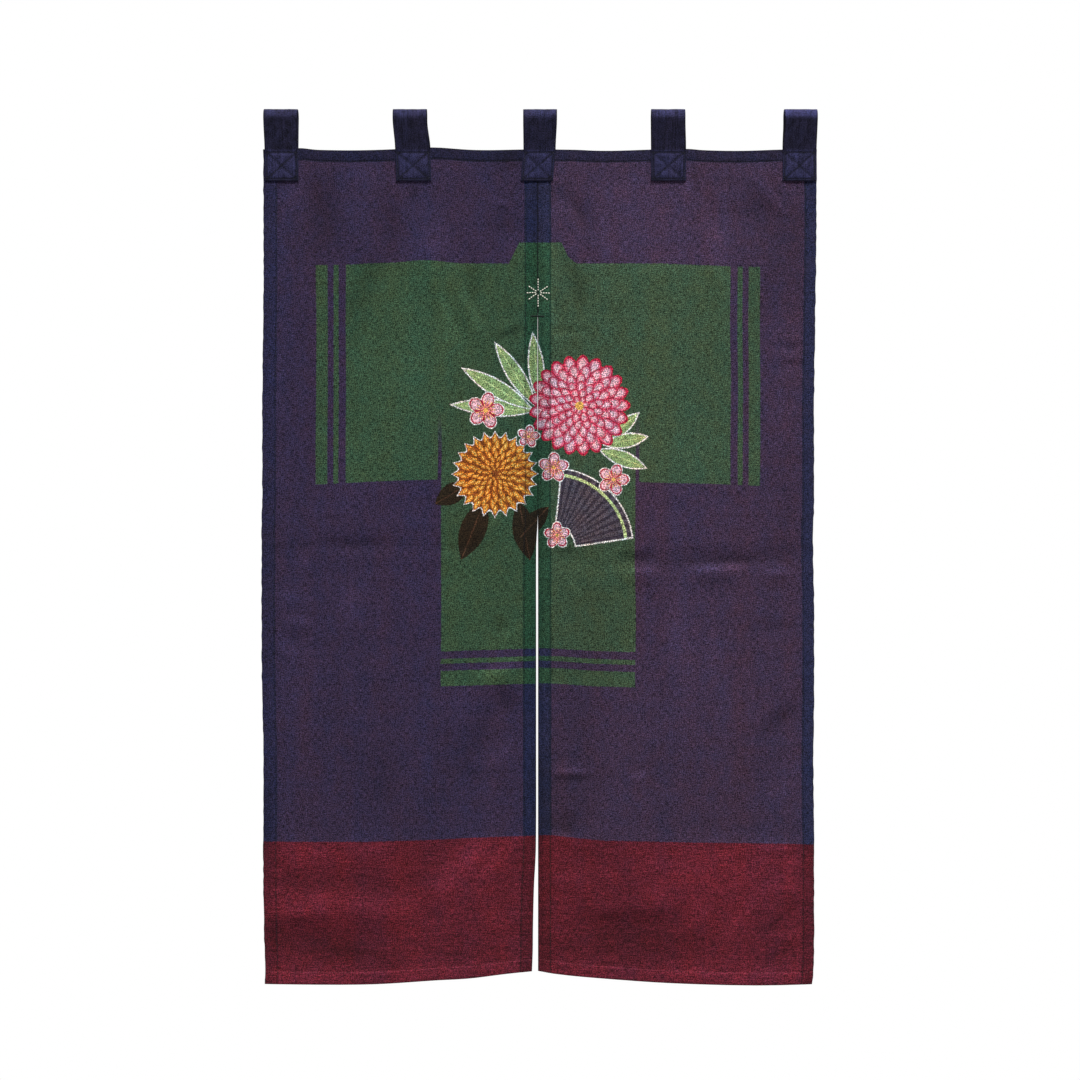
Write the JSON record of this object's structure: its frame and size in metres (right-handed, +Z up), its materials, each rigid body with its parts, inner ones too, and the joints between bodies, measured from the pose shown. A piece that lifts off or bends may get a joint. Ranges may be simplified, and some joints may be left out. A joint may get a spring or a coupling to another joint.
{
  "type": "noren curtain",
  "caption": "Split doorway curtain of dark woven cotton, seamed at the top and open below, with a contrasting lower band and sewn loops for a rod along its heading.",
  "frame": {"origin": "on the axis of the rod that the loops slide over, straight above the seam between the panels", "axes": "+X along the rod, to the right as seen from the front; +Y away from the viewer, through the cloth; +Z up, against the cloth's fall"},
  "size_m": [0.8542, 0.0272, 1.3463],
  "materials": {
    "panel_left_cotton": "matt woven cotton, dark aubergine, with hemmed edges",
    "panel_right_cotton": "matt woven cotton, dark aubergine, with hemmed edges",
    "loop_cotton": "matt woven cotton strap, dark indigo"
  },
  "bodies": {
    "root": {"panel_left": "panel_left_cotton", "panel_right": "panel_right_cotton", "loop_1": "loop_cotton", "loop_2": "loop_cotton", "loop_3": "loop_cotton", "loop_4": "loop_cotton", "loop_5": "loop_cotton"}
  },
  "joints": []
}
